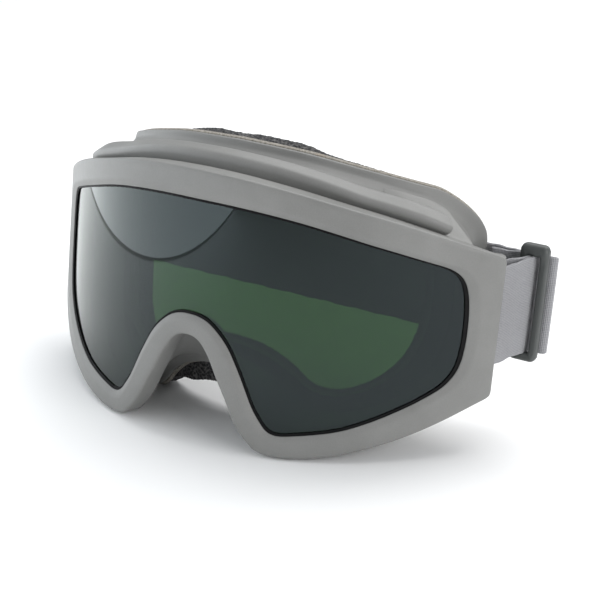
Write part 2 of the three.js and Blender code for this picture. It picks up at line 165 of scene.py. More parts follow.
def spline(points, n):
    """n + 1 evenly spaced points on the smooth curve through the given ones."""
    p = np.asarray(points, float)
    m = len(p)
    out = []
    for k in range(m - 1):
        p0, p1, p2, p3 = p[max(k - 1, 0)], p[k], p[k + 1], p[min(k + 2, m - 1)]
        v0, v1 = (p2 - p0) / 2, (p3 - p1) / 2
        t = np.linspace(0, 1, 48, endpoint=False)[:, None]
        out.append((2 * p1 - 2 * p2 + v0 + v1) * t ** 3 + (-3 * p1 + 3 * p2 - 2 * v0 - v1) * t ** 2 + v0 * t + p1)
    out = np.vstack(out + [p[-1:]])
    s = np.concatenate([[0], np.cumsum(np.linalg.norm(np.diff(out, axis=0), axis=1))])
    u = np.linspace(0, s[-1], n + 1)
    return np.stack([np.interp(u, s, out[:, j]) for j in range(out.shape[1])], -1)


def outline(half, soft):
    right = []
    for key in ("top", "side", "bottom", "nose"):
        pts = spline(half[key], STEPS[key] * MULT)
        right.append(pts if not right else pts[1:])
    right = np.vstack(right)
    left = right[1:-1][::-1] * [-1, 1]
    ring = np.vstack([right, left])
    if soft:
        k = np.arange(-8, 9)
        g = np.exp(-k ** 2 / (2 * soft ** 2))
        g /= g.sum()
        ring = sum(g[j] * np.roll(ring, int(k[j]), axis=0) for j in range(len(k)))
    return ring


I, O, F, H = outline(OPENING, 1.8), outline(OUTER, 0.8), outline(FLANGE, 1.4), outline(FACE, 2.4)
C2, C4 = 4.666e-3 / 0.862866, 0.675e-7 / 0.862866 ** 3


def smoothstep(x, a, b):
    t = np.clip((np.asarray(x, float) - a) / (b - a), 0, 1)
    return t * t * (3 - 2 * t)


def lerp(a, b, t):
    return a + (b - a) * t


def behind(x, z, b):
    a = np.arctan(2 * C2 * x + 4 * C4 * x ** 3)
    return np.stack([x - np.sin(a) * b, C2 * x ** 2 + C4 * x ** 4 + np.cos(a) * b, z + 0 * x], -1)


def on_flange(x, z, b):
    a = np.arcsin(np.clip(x / 83.5, -0.98, 0.98))
    y = 24.6 + 83.5 - np.sqrt(83.5 ** 2 - x ** 2)
    return np.stack([x - np.sin(a) * b, y + np.cos(a) * b, z + 0 * x], -1)


OUTWARD = (O - I) / np.linalg.norm(O - I, axis=1)[:, None]
WIDTH = np.linalg.norm(O - I, axis=1)
WING = smoothstep(np.abs(O[:, 0]), 80, 89.5)
WALL0 = lerp(np.minimum(7.2, WIDTH - 1.8), 3.2, WING)


def at(k, b):
    """k mm from the lens opening towards the outside, b mm behind the front surface."""
    q = I + OUTWARD * (np.zeros(N) + k)[:, None]
    return behind(q[:, 0], q[:, 1], np.zeros(N) + b)


def on(t, b):
    """t of the way from the flange's outside to its inner edge, b mm behind its front."""
    q = F + (H - F) * (np.zeros(N) + t)[:, None]
    return on_flange(q[:, 0], q[:, 1], np.zeros(N) + b)


# ---- meshes ------------------------------------------------------------------------------------------
def fillet(sections, radii, n=5, closed=True):
    """Rounds the corners of a row of sections: sections (N, m, 3), one radius a corner."""
    s = sections
    m = s.shape[1]
    out = []
    for j in range(m):
        if not closed and j in (0, m - 1):
            out.append(s[:, j])
            continue
        a, b, c = s[:, j - 1], s[:, j], s[:, (j + 1) % m]
        la = np.linalg.norm(a - b, axis=1, keepdims=True)
        lc = np.linalg.norm(c - b, axis=1, keepdims=True)
        r = np.minimum(radii[j], 0.46 * np.minimum(la, lc))
        p0, p1 = b + (a - b) / np.maximum(la, 1e-9) * r, b + (c - b) / np.maximum(lc, 1e-9) * r
        if radii[j] <= 0:
            out.append(b)
            continue
        for t in np.linspace(0, 1, n + 1):
            out.append((1 - t) ** 2 * p0 + 2 * t * (1 - t) * b + t ** 2 * p1)
    return np.stack(out, 1)


def densify(sections, step=1.6, near=0.3, closed=True):
    """Adds points along the straight stretches, with one close to each end of a stretch."""
    s = sections
    m = s.shape[1]
    out = []
    for j in range(m):
        out.append(s[:, j])
        if j == m - 1 and not closed:
            break
        a, b = s[:, j], s[:, (j + 1) % m]
        length = float(np.mean(np.linalg.norm(b - a, axis=1)))
        if length > 3 * near:
            f = near / length
            k = max(1, int(math.ceil((length - 2 * near) / step)))
            for t in np.linspace(f, 1 - f, k + 1):
                out.append(a + (b - a) * t)
    return np.stack(out, 1)


def signed_volume(v, quads):
    a, b, c, d = (v[quads[:, k]] for k in range(4))
    return float(np.sum(np.cross(a, b) * c) + np.sum(np.cross(a, c) * d))


def make(name, verts, quads, extra=(), uv=None, flat=False, is_world=False):
    """A mesh object in the shared frame from points in the goggles' axes."""
    verts = np.asarray(verts, float)
    quads = np.asarray(quads, int)
    if signed_volume(verts, quads) < 0:
        quads = quads[:, ::-1]
        extra = [tuple(f)[::-1] for f in extra]
    faces = [tuple(map(int, q)) for q in quads] + [tuple(map(int, f)) for f in extra]
    mesh = bpy.data.meshes.new(name)
    mesh.from_pydata((verts if is_world else world(verts)).tolist(), [], faces)
    mesh.validate()
    mesh.update()
    if uv is not None:
        layer = mesh.uv_layers.new(name="UVMap")
        idx = np.empty(len(mesh.loops), int)
        mesh.loops.foreach_get("vertex_index", idx)
        layer.data.foreach_set("uv", np.asarray(uv, float)[idx].astype(np.float32).ravel())
    if not flat:
        mesh.shade_smooth()
    o = bpy.data.objects.new(name, mesh)
    scene.collection.objects.link(o)
    return o


def ring_quads(n, m, skip=None):
    i, k = np.meshgrid(np.arange(n), np.arange(m), indexing="ij")
    j, l = (i + 1) % n, (k + 1) % m
    q = np.stack([i * m + k, i * m + l, j * m + l, j * m + k], -1)
    if skip is not None:
        q = q[~skip]
    return q.reshape(-1, 4)


def ring(name, sections):
    n, m = sections.shape[:2]
    return make(name, sections.reshape(-1, 3), ring_quads(n, m))


def rod(name, sections, uv=None, ends="fan"):
    """A row of closed sections with both ends filled."""
    n, m = sections.shape[:2]
    i, k = np.meshgrid(np.arange(n - 1), np.arange(m), indexing="ij")
    l = (k + 1) % m
    q = np.stack([i * m + k, i * m + l, (i + 1) * m + l, (i + 1) * m + k], -1).reshape(-1, 4)
    verts = sections.reshape(-1, 3)
    e = (n - 1) * m
    caps = [tuple(range(m))[::-1], tuple(range(e, e + m))]
    if signed_volume(verts, q) < 0:
        pass
    return make(name, verts, q, caps, uv=uv)


def join(name, objects):
    for o in bpy.context.selected_objects:
        o.select_set(False)
    for o in objects:
        o.select_set(True)
    bpy.context.view_layer.objects.active = objects[0]
    bpy.ops.object.join()
    objects[0].name = name
    objects[0].data.name = name
    return objects[0]


# ---- materials ---------------------------------------------------------------------------------------
class Look:
    """A small helper for one node material."""

    def __init__(self, name):
        self.m = bpy.data.materials.new(name)
        self.m.use_nodes = True
        self.t = self.m.node_tree
        self.p = self.t.nodes["Principled BSDF"]
        self.tex = self.t.nodes.new("ShaderNodeTexCoord")

    def n(self, kind, **values):
        node = self.t.nodes.new(kind)
        for key, value in values.items():
            if key in node.inputs:
                node.inputs[key].default_value = value
            else:
                setattr(node, key, value)
        return node

    def link(self, a, b):
        self.t.links.new(a, b)

    def coords(self, kind="Object"):
        return self.tex.outputs[kind]

    def scaled(self, source, scale):
        m = self.n("ShaderNodeMapping")
        m.inputs["Scale"].default_value = scale
        self.link(source, m.inputs["Vector"])
        return m.outputs["Vector"]

    def noise(self, scale, detail=2.0, rough=0.5, source=None):
        k = self.n("ShaderNodeTexNoise")
        k.inputs["Scale"].default_value = scale
        k.inputs["Detail"].default_value = detail
        k.inputs["Roughness"].default_value = rough
        self.link(source or self.coords(), k.inputs["Vector"])
        return k.outputs["Fac"]

    def ramp(self, fac, stops):
        r = self.n("ShaderNodeValToRGB")
        e = r.color_ramp.elements
        e[0].position, e[0].color = stops[0][0], (*stops[0][1], 1)
        e[1].position, e[1].color = stops[-1][0], (*stops[-1][1], 1)
        for pos, col in stops[1:-1]:
            k = e.new(pos)
            k.color = (*col, 1)
        self.link(fac, r.inputs["Fac"])
        return r.outputs["Color"]

    def between(self, fac, lo, hi, a=0.3, b=0.7):
        r = self.n("ShaderNodeMapRange")
        r.inputs["From Min"].default_value, r.inputs["From Max"].default_value = a, b
        r.inputs["To Min"].default_value, r.inputs["To Max"].default_value = lo, hi
        self.link(fac, r.inputs["Value"])
        return r.outputs["Result"]

    def math(self, op, a, b):
        k = self.n("ShaderNodeMath", operation=op)
        for socket, value in zip(k.inputs, (a, b)):
            if isinstance(value, (int, float)):
                socket.default_value = value
            else:
                self.link(value, socket)
        return k.outputs[0]

    def mix(self, fac, a, b, kind="MIX"):
        k = self.n("ShaderNodeMix", data_type="RGBA", blend_type=kind)
        for socket, value in ((k.inputs["Factor"], fac), (k.inputs[6], a), (k.inputs[7], b)):
            if isinstance(value, (int, float)):
                socket.default_value = value
            elif isinstance(value, tuple):
                socket.default_value = (*value, 1)
            else:
                self.link(value, socket)
        return k.outputs[2]

    def bump(self, height, strength, distance, below=None):
        k = self.n("ShaderNodeBump")
        k.inputs["Strength"].default_value = strength
        k.inputs["Distance"].default_value = distance
        self.link(height, k.inputs["Height"])
        if below is not None:
            self.link(below, k.inputs["Normal"])
        return k.outputs["Normal"]

    def out(self, colour=None, rough=None, normal=None):
        if colour is not None:
            self.link(colour, self.p.inputs["Base Color"])
        if rough is not None:
            self.link(rough, self.p.inputs["Roughness"])
        if normal is not None:
            self.link(normal, self.p.inputs["Normal"])
        return self.m


def srgb(r, g, b):
    f = lambda v: (v / 255) / 12.92 if v / 255 <= 0.04045 else ((v / 255 + 0.055) / 1.055) ** 2.4
    return (f(r), f(g), f(b))


def moulded(name, dark, light, rough=(0.42, 0.56), grain=0.00003, spec=0.42):
    """Satin moulded plastic: fine spark-eroded grain, slow random tone variation, and a painted highlight that lightens
    sharp convex edges in patches.
    """
    k = Look(name)
    k.p.inputs["Specular IOR Level"].default_value = spec
    slow = k.noise(38, 3, 0.55)
    fine = k.noise(2600, 2, 0.6)
    mid = k.noise(420, 3, 0.6)
    tint = k.ramp(slow, [(0.3, dark), (0.72, light)])
    speck = k.ramp(fine, [(0.25, (0.86, 0.86, 0.86)), (0.8, (1.08, 1.08, 1.08))])
    colour = k.mix(0.55, tint, speck, "MULTIPLY")
    geo = k.n("ShaderNodeNewGeometry")
    # painted highlight: sharp convex edges (high pointiness) are lightened towards 1.5 times the light tone, in noisy
    # patches
    painted_edge_highlight_mask = k.between(geo.outputs["Pointiness"], 0.0, 0.35, 0.53, 0.62)
    edge_highlight_patches = k.math("MULTIPLY", painted_edge_highlight_mask, k.between(mid, 0.2, 0.75, 0.3, 0.7))
    colour = k.mix(edge_highlight_patches, colour, tuple(min(1.0, c * 1.5) for c in light))
    r = k.between(k.math("ADD", k.math("MULTIPLY", slow, 0.6), k.math("MULTIPLY", mid, 0.4)), rough[0], rough[1])
    soft = k.bump(mid, 0.12, 0.00012)
    return k.out(colour, r, k.bump(fine, 0.35, grain, soft))


grey = moulded("frame_satin_grey", srgb(119, 119, 117), srgb(131, 131, 129))
buckle_look = moulded("buckle_plastic", srgb(71, 74, 73), srgb(81, 84, 83), rough=(0.4, 0.54), spec=0.4)


def gap_shaded_seal():
    k = Look("seal_dark_and_gap_shade")
    n1 = k.noise(900, 3)
    # partly painted shade: the seal's own black is made far darker and less glossy than rubber, so it also paints the
    # shade in the gap between lens and rim
    k.p.inputs["Specular IOR Level"].default_value = 0.15
    c = k.ramp(k.noise(120, 3), [(0.3, srgb(5, 5, 6)), (0.75, srgb(12, 12, 13))])
    return k.out(c, k.between(n1, 0.45, 0.7), k.bump(n1, 0.2, 0.00004))


def glass():
    """Welding-green tinted polycarbonate with faint wipe marks."""
    k = Look("tinted_glass")
    k.p.inputs["Transmission Weight"].default_value = 1.0
    k.p.inputs["IOR"].default_value = 1.47
    k.p.inputs["Specular Tint"].default_value = (0.80, 0.93, 1.0, 1)
    c = k.ramp(k.noise(14, 2), [(0.2, (0.013, 0.038, 0.010)), (0.8, (0.015, 0.042, 0.011))])
    streak = k.noise(60, 4, 0.6, k.scaled(k.coords(), (1.0, 1.0, 0.25)))
    r = k.between(streak, 0.0, 0.006, 0.4, 0.8)
    return k.out(c, r)


def foam():
    """Open-cell foam: dark cells with lighter struts."""
    k = Look("open_cell_foam")
    v = k.n("ShaderNodeTexVoronoi", feature="F1")
    v.inputs["Scale"].default_value = 1100
    k.link(k.coords(), v.inputs["Vector"])
    v2 = k.n("ShaderNodeTexVoronoi", feature="F1")
    v2.inputs["Scale"].default_value = 520
    k.link(k.coords(), v2.inputs["Vector"])
    big = k.noise(160, 3)
    base = k.ramp(v.outputs["Distance"], [(0.1, srgb(28, 28, 30)), (0.45, srgb(52, 52, 54)), (0.75, srgb(90, 89, 88))])
    tint = k.ramp(big, [(0.3, (0.72, 0.72, 0.72)), (0.75, (1.25, 1.25, 1.25))])
    c = k.mix(0.9, base, tint, "MULTIPLY")
    h = k.math("ADD", v.outputs["Distance"], k.math("MULTIPLY", v2.outputs["Distance"], 1.2))
    return k.out(c, k.between(big, 0.9, 1.0), k.bump(h, 0.9, 0.0006))


def carrier():
    """Felted backing layer under the foam: light, speckled."""
    k = Look("foam_carrier")
    s = k.noise(1500, 3, 0.7)
    c = k.ramp(s, [(0.3, srgb(104, 99, 90)), (0.5, srgb(158, 154, 147)), (0.75, srgb(188, 184, 178))])
    patch = k.ramp(k.noise(90, 2), [(0.35, srgb(196, 190, 182)), (0.66, srgb(206, 203, 198)), (0.8, srgb(200, 176, 150))])
    c = k.mix(0.5, c, patch, "MULTIPLY")
    return k.out(c, k.between(s, 0.8, 1.0), k.bump(s, 0.6, 0.0002))


def webbing_look():
    """Elastic webbing: ribs along the length, small picks across, a fuzzy surface."""
    k = Look("elastic_webbing")
    k.p.inputs["Sheen Weight"].default_value = 0.25
    k.p.inputs["Sheen Roughness"].default_value = 0.4
    uv = k.coords("UV")
    ribs = k.n("ShaderNodeTexWave", wave_type="BANDS", bands_direction="Y", wave_profile="SIN")
    ribs.inputs["Scale"].default_value = 5.2
    ribs.inputs["Distortion"].default_value = 0.6
    ribs.inputs["Detail"].default_value = 1.0
    ribs.inputs["Detail Scale"].default_value = 3.0
    k.link(uv, ribs.inputs["Vector"])
    picks = k.n("ShaderNodeTexWave", wave_type="BANDS", bands_direction="X", wave_profile="SIN")
    picks.inputs["Scale"].default_value = 6.6
    picks.inputs["Distortion"].default_value = 1.2
    picks.inputs["Detail"].default_value = 2.0
    picks.inputs["Detail Scale"].default_value = 4.0
    k.link(uv, picks.inputs["Vector"])
    fuzz = k.noise(1900, 3, 0.65)
    slow = k.noise(70, 3)
    weave = k.math("ADD", k.math("MULTIPLY", ribs.outputs["Fac"], 0.45), k.math("MULTIPLY", picks.outputs["Fac"], 0.55))
    weave = k.math("ADD", k.math("MULTIPLY", weave, 0.7), k.math("MULTIPLY", fuzz, 0.45))
    c = k.ramp(weave, [(0.2, srgb(118, 118, 121)), (0.55, srgb(148, 148, 151)), (0.9, srgb(166, 166, 169))])
    t = k.ramp(slow, [(0.3, (0.9, 0.9, 0.9)), (0.72, (1.06, 1.06, 1.06))])
    c = k.mix(0.8, c, t, "MULTIPLY")
    return k.out(c, k.between(fuzz, 0.8, 1.0), k.bump(weave, 0.75, 0.00028))


def filter_look():
    k = Look("vent_filter")
    v = k.n("ShaderNodeTexVoronoi", feature="F1")
    v.inputs["Scale"].default_value = 1300
    k.link(k.coords(), v.inputs["Vector"])
    c = k.ramp(v.outputs["Distance"], [(0.1, srgb(22, 22, 23)), (0.8, srgb(62, 62, 62))])
    return k.out(c, k.between(k.noise(200, 2), 0.85, 1.0), k.bump(v.outputs["Distance"], 0.8, 0.0004))


def floor_look():
    k = Look("studio_floor")
    n1 = k.noise(3, 2)
    c = k.ramp(n1, [(0.3, (0.93, 0.93, 0.93)), (0.7, (0.95, 0.95, 0.95))])
    return k.out(c, k.between(n1, 0.75, 0.85))


gap_shaded_seal_look, glass_look, foam_look, carrier_look = gap_shaded_seal(), glass(), foam(), carrier()
web_look, mesh_look = webbing_look(), filter_look()

floor = make("floor", np.array([[-6, -6, 0], [6, -6, 0], [6, 6, 0], [-6, 6, 0]], float), np.array([[0, 1, 2, 3]]), is_world=True, flat=True)
if floor.data.polygons[0].normal.z < 0:
    floor.data.flip_normals()
floor.data.materials.append(floor_look())


def dress(o, look, body, slot, *nodes):
    o.data.materials.clear()
    o.data.materials.append(look)
    if body:
        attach(o, body)
    if nodes:
        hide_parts(*nodes)
    return o


# ---- front frame: rim and wings ------------------------------------------------------------------------
rim_back = lerp(np.minimum(5.6, WIDTH - 1.2), 4.6, WING)
rim_depth = lerp(8.0, 3.0, WING)
sections = np.stack([
    at(0, 1.2), at(0.15, 0.98), at(2.3, 0.0), at(WIDTH - 2.0, -0.05), at(WIDTH, 0.25),
    at(WIDTH - 0.02, rim_depth), at(rim_back + lerp(0.7, 0.5, WING), rim_depth),
    at(rim_back, 8.0), at(0.9, 8.0), at(0.9, 4.6), at(3.6, 4.6), at(3.6, 1.35), at(0, 1.35)], 1)
sections = densify(fillet(sections, [0.12, 0.4, 0.9, 1.0, 1.5, 0.7, 0.5, 0.4, 0.3, 0.15, 0.2, 0.2, 0.15]))
rim = ring("front_rim", sections)
dress(rim, grey, "frame", "frame_grey", "lens_frame")


def lathe(name, profile, centre, segments=40):
    """A turned pin: profile rows (z, r) about a vertical axis at centre (x, y)."""
    a = np.linspace(0, 2 * math.pi, segments, endpoint=False)
    rows = [np.stack([centre[0] + r * np.cos(a), centre[1] + r * np.sin(a), np.full(segments, z)], -1) for z, r in profile]
    return rod(name, np.stack(rows))


def plate(name, plan, z0, z1, bevel):
    """A plate on a plan outline with rounded edges."""
    p = np.asarray(plan, float)
    m = len(p)
    p = fillet(np.concatenate([p, np.zeros((m, 1))], 1)[None], [1.4] * m, 5)[0][:, :2]
    c = p.mean(0)
    rows = []
    d = np.linalg.norm(p - c, axis=1)[:, None]
    for a in np.linspace(0, math.pi / 2, 5):
        q = c + (p - c) * (1 - bevel * (1 - math.sin(a)) / d)
        rows.append(np.concatenate([q, np.full((len(q), 1), z0 + bevel * (1 - math.cos(a)))], 1))
    for a in np.linspace(math.pi / 2, 0, 5):
        q = c + (p - c) * (1 - bevel * (1 - math.sin(a)) / d)
        rows.append(np.concatenate([q, np.full((len(q), 1), z1 - bevel * (1 - math.cos(a)))], 1))
    return rod(name, np.stack(rows))


LUG = [[89.4, 52.4], [88.1, 57.2], [85.6, 59.3], [82.6, 58.2], [82.0, 55.6], [84.4, 48.2], [86.9, 48.9]]
bars = []
for side, word in ((1, "left"), (-1, "right")):
    plan = [[x * side, y] for x, y in LUG]
    bits = [plate("lug", plan, 15.9, 18.2, 0.45), plate("lug", plan, -25.6, -23.0, 0.45)]
    bits.append(lathe("pin", [(-23.6, 2.4), (-22.9, 2.3), (-22.2, 1.85), (-21.4, 1.75), (-3.4, 1.7), (14.6, 1.75), (15.2, 1.9), (15.8, 2.3), (16.4, 2.4)], (side * 84.5, 56.5)))
    bars.append(dress(join("strap_bar_" + word, bits), grey, "frame", "frame_grey"))

# ---- seal and lens ------------------------------------------------------------------------------------------
sections = np.stack([at(-0.95, 1.45), at(3.2, 1.45), at(3.2, 1.95), at(-0.95, 1.95)], 1)
seal = ring("seal_ring", densify(fillet(sections, [0.3, 0.1, 0.1, 0.3], 4)))
# the seal ring's near-black look also paints the shade in the gap round the lens
dress(seal, gap_shaded_seal_look, "frame", "black_seal", "lens_seal")

q = I + OUTWARD * 2.8
edge = q[: N // 2 + 1]
turn = int(np.argmax(edge[:, 0]))
upper, lower = edge[: turn + 1], edge[turn:][::-1]
reach = edge[turn, 0] - 0.02
cols = reach * np.sin(np.linspace(-1, 1, 241) * math.pi / 2)
top = np.interp(np.abs(cols), upper[:, 0], upper[:, 1])
low = np.interp(np.abs(cols), lower[:, 0], lower[:, 1])
rows = np.linspace(0, 1, 25)
zz = low[:, None] + (top - low)[:, None] * rows[None]
xx = np.repeat(cols[:, None], len(rows), 1)
front, rear = behind(xx, zz, 2.0 + 0 * xx), behind(xx, zz, 4.2 + 0 * xx)
n, m = xx.shape
section = np.concatenate([front, rear[:, ::-1]], 1)
lens = rod("lens_sheet", section)
# the lens mesh is refreshed; all its faces stay smooth shaded
for o in (lens,):
    o.data.update()
dress(lens, glass_look, "frame", "tinted_lens", "lens")

# ---- rear face frame: wall, vent slots and flange --------------------------------------------------------------
T_ROWS = [0.0, 0.06, 0.14, 0.24, 0.33, 0.37, 0.40, 0.46, 0.52, 0.62, 0.74, 0.86, 0.95]
OUT_START, IN_START = at(WALL0, 7.2), at(WALL0 - 2.0, 7.2)
OUT_REF = at(WALL0, 8.3)
out1, in1 = on(0.34, -2.2), on(0.58, -1.4)
outer_rows = [OUT_START] + [OUT_REF + (out1 - OUT_REF) * t for t in T_ROWS[1:]]
inner_rows = [IN_START] + [at(WALL0 - 2.0, 8.3) + (in1 - at(WALL0 - 2.0, 8.3)) * t for t in T_ROWS[1:]]
corner = np.stack([outer_rows[-1], out1, on(0.2, -0.45), on(0.06, 0), on(-0.005, 0.35), on(-0.005, 1.65), on(0.03, 2), on(1, 2), on(1, 0.2), on(0.75, 0), in1, inner_rows[-1]], 1)
corner = densify(fillet(corner, [0, 2.2, 2.5, 1.2, 0.5, 0.5, 0.3, 0.5, 0.5, 1.5, 2.0, 0], 5, closed=False), closed=False)
wall = np.concatenate([np.stack(outer_rows[:-1], 1), corner, np.stack(inner_rows[:-1][::-1], 1)], 1)
M = wall.shape[1]
skip = np.zeros((N, M), bool)
TOP, LOW = STEPS["top"], STEPS["top"] + STEPS["side"]
VENTS = [
    ("top_vent", -(TOP - 3), TOP - 3, 5.1, 0.17, 0.66, (5, 7), ""),
    ("bottom_vent", LOW + 3, LOW + STEPS["bottom"] - 2, 3.7, 0.2, 0.66, (6, 7), "_left"),
    ("bottom_vent", COUNT - LOW - STEPS["bottom"] + 2, COUNT - LOW - 3, 3.7, 0.2, 0.66, (6, 7), "_right"),
]
bridges = []
for _, a, b, _, _, _, (ra, rb), _ in VENTS:
    u = a + 1
    while u < b - 1.5:
        c0, c1 = int(round((u + 0.62) * MULT)), int(round((u + 1.38) * MULT))
        for c in range(c0, c1):
            for r in range(ra, rb):
                skip[c % N, r] = True
                skip[c % N, M - 1 - r - 1 + 0] = True
        V = lambda c, r: (c % N) * M + r
        W = lambda c, r: (c % N) * M + (M - 1 - r)
        for c in range(c0, c1):
            bridges.append((V(c, ra), V(c + 1, ra), W(c + 1, ra), W(c, ra)))
            bridges.append((V(c + 1, rb), V(c, rb), W(c, rb), W(c + 1, rb)))
        for r in range(ra, rb):
            bridges.append((V(c0, r + 1), V(c0, r), W(c0, r), W(c0, r + 1)))
            bridges.append((V(c1, r), V(c1, r + 1), W(c1, r + 1), W(c1, r)))
        u += 1
shell = make("face_shell", wall.reshape(-1, 3), np.concatenate([ring_quads(N, M, skip), np.array(bridges)]))
bpy.context.view_layer.objects.active = shell
shell.select_set(True)
bpy.ops.object.mode_set(mode="EDIT")
bpy.ops.mesh.select_all(action="SELECT")
bpy.ops.mesh.normals_make_consistent(inside=False)
bpy.ops.object.mode_set(mode="OBJECT")
shell.select_set(False)
dress(shell, grey, "frame", "frame_grey", "face_frame")


# ---- hoods over the vents -----------------------------------------------------------------------------------------
def sample(a, u):
    """Rows of a ring array at real-valued outline positions u."""
    s = (u * MULT) % N
    i = np.floor(s).astype(int)
    f = (s - i)[:, None]
    return a[i % N] * (1 - f) + a[(i + 1) % N] * f


def wall_at(u, t, lift):
    a, f = sample(OUT_REF, u), sample(out1, u)
    d = sample(OUTWARD, u)
    p = a + (f - a) * t[:, None]
    p[:, 0] += d[:, 0] * lift
    p[:, 2] += d[:, 1] * lift
    return p


def hood(name, a, b, height, t0, t1):
    E = 0.38 if b - a > 15 else 1.1
    u = np.concatenate([a + E * (1 - np.cos(np.linspace(0, math.pi / 2, 18))), np.linspace(a + E, b - E, int((b - a) * MULT))[1:-1],
                        (b - E * (1 - np.cos(np.linspace(0, math.pi / 2, 18))))[::-1]])
    e = np.minimum(u - a, b - u)
    g = np.clip(1 - (1 - np.clip(e / E, 0, 1)) ** 2.6, 0, 1) ** 0.5
    h = height * g
    if b - a > 15:  # the long top hood stands taller towards its ends
        h = h * (1 + 0.42 * smoothstep(np.abs(wall_at(u, np.full(len(u), t0), np.zeros(len(u)))[:, 0]), 44, 64))
    ta = t0 + (1 - g) * 0.14
    tb = t1 - (1 - g) * 0.1
    one = np.ones(len(u))
    cave = np.maximum(h - 1.4, -0.5)
    cave2 = np.maximum(h * 0.86 - 1.4, -0.5)
    s = np.stack([
        wall_at(u, ta, -0.6 * one), wall_at(u, ta - 0.02 * g, h * 0.78), wall_at(u, ta + 0.07 * g, h),
        wall_at(u, tb - 0.1 * g, h * 0.86), wall_at(u, tb, h * 0.6), wall_at(u, tb, -0.6 * one),
        wall_at(u, tb - 0.1 * g, -0.6 * one), wall_at(u, tb - 0.1 * g, cave2), wall_at(u, ta + 0.1 * g, cave), wall_at(u, ta + 0.1 * g, -0.6 * one)], 1)
    s = densify(fillet(s, [0.1, 1.2, 1.4, 1.4, 1.6, 0.1, 0.1, 0.4, 0.4, 0.1]), step=1.2)
    return rod(name, s)


for name, a, b, height, t0, t1, _, word in VENTS:
    if name == "top_vent":
        a, b, height = a - 1.45, b + 1.45, 5.6
    o = hood(f"{name}_hood{word}", a, b, height, t0, t1)
    dress(o, grey, "frame", "frame_grey", f"{name}_cover{word}")
    node = frame["nodes"][f"{name}_filter{word}"]
    node.data.materials.clear()
    node.data.materials.append(mesh_look)

# the body's shoulders: a shelf from the rim's top edge back to the flange, beyond each hood end
def shoulder(side):
    u = side * np.concatenate([np.linspace(9.6, 12.95, 24)[:-1], 12.95 + 0.5 * np.sin(np.linspace(0, math.pi / 2, 16))])
    g = np.sqrt(np.clip(1 - ((np.abs(u) - 12.95) / 0.5).clip(0, 1) ** 2, 0, 1))[:, None]
    g = g * smoothstep(np.abs(u), 9.6, 10.7)[:, None]
    S = lambda a: sample(a, u)
    high = [S(at(WIDTH - 0.9, 6.4)), S(at(WIDTH - 0.6, 8.3)), S(at(WIDTH + 0.2, 9.8)), S(on(0.3, -2.0)), S(on(0.28, 0.3))]
    low = [S(OUT_START), S(OUT_START), S(OUT_REF), S(out1), S(out1)]
    top = [l + (h - l) * g for h, l in zip(high, low)]
    s = np.stack(top + [S(on(0.62, 0.3)), S(at(WALL0 - 1.2, 6.4))], 1)
    return rod("shoulder", densify(fillet(s, [0.2, 0.8, 1.6, 1.6, 0.2, 0.2, 0.2]), step=1.2))


shell = dress(join("face_shell", [shell, shoulder(1), shoulder(-1)]), grey, None, "frame_grey")

# ---- carrier and foam -------------------------------------------------------------------------------------------------
sections = np.stack([on(-0.03, 2.1), on(0.985, 2.1), on(0.985, 3.65), on(-0.07, 3.75)], 1)
backing = ring("foam_carrier", densify(fillet(sections, [0.3, 0.3, 0.3, 0.4], 3), step=2.4))
dress(backing, carrier_look, "frame", "foam_carrier", "foam_backing")

thick = lerp(8.0, 6.2, smoothstep(np.abs(F[:, 0]), 35, 72))
P0 = 3.7


RINGW = np.linalg.norm(H - F, axis=1)
nose_drop = np.where(F[:, 1] < -30, 7.9 * (1 - smoothstep(np.abs(F[:, 0]), 14, 30)), 0.0)
brow = np.where(F[:, 1] > 0, 1.35 * (1 - smoothstep(np.abs(F[:, 0]), 17, 36)), 0.0)
brow *= 1 + 0.2 * np.sin(F[:, 0] / 7.0 - 0.6) + 0.1 * np.sin(F[:, 0] / 2.9)
pull = 0.16 * smoothstep(np.abs(F[:, 0]), 71.5, 74.2)


def foam_sections(shrink):
    t = thick - shrink
    d = nose_drop / RINGW
    e = d + brow / RINGW - pull
    q = shrink / RINGW
    s = np.stack([on(0.97, P0), on(0.01 - d + pull, P0), on(-0.05 - e + q, P0 + t * 0.5), on(0.0 - e + q, P0 + t), on(0.92 - q, P0 + t), on(1.06 - q, P0 + t * 0.55)], 1)
    return fillet(s, [0.8, 0.6, 2.0, 1.4, 2.2, 2.6], 4)


def inflate(o, pin, cap, frames=20):
    """A short pressure run on the pad, held at its glued face, with how far a point may go capped."""
    start = np.array([v.co[:] for v in o.data.vertices])
    group = o.vertex_groups.new(name="glued")
    group.add([int(i) for i in np.nonzero(pin)[0]], 1.0, "REPLACE")
    c = o.modifiers.new("cloth", "CLOTH")
    s = c.settings
    s.quality = 6
    s.mass = 0.2
    s.tension_stiffness = s.compression_stiffness = 25
    s.bending_stiffness = 2.0
    s.use_pressure = True
    s.uniform_pressure_force = 4.0
    s.effector_weights.gravity = 0.0
    s.vertex_group_mass = "glued"
    c.collision_settings.use_collision = False
    c.point_cache.frame_start, c.point_cache.frame_end = 1, frames
    for f in range(1, frames + 1):
        scene.frame_set(f)
    dep = bpy.context.evaluated_depsgraph_get()
    now = np.array([v.co[:] for v in o.evaluated_get(dep).data.vertices])
    o.modifiers.remove(c)
    scene.frame_set(1)
    move = now - start
    if not np.all(np.isfinite(move)):
        move = np.zeros_like(start)
    length = np.linalg.norm(move, axis=1, keepdims=True)
    move *= np.minimum(1.0, cap / np.maximum(length, 1e-12))
    o.data.vertices.foreach_set("co", (start + move).astype(np.float32).ravel())
    o.vertex_groups.clear()
    o.data.update()
    return float(length.max()) * 1000


fs = foam_sections(0.55)[::2]
fs = densify(fs, step=1.8, near=0.9)
pad = ring("foam_pad_soft", fs)
depth_rows = fs.shape[1]
base = world(fs)
flat = np.linalg.norm(np.stack([on(0.5, P0)[::2]], 1) - fs, axis=2)
q0 = on(0.97, P0)[::2]
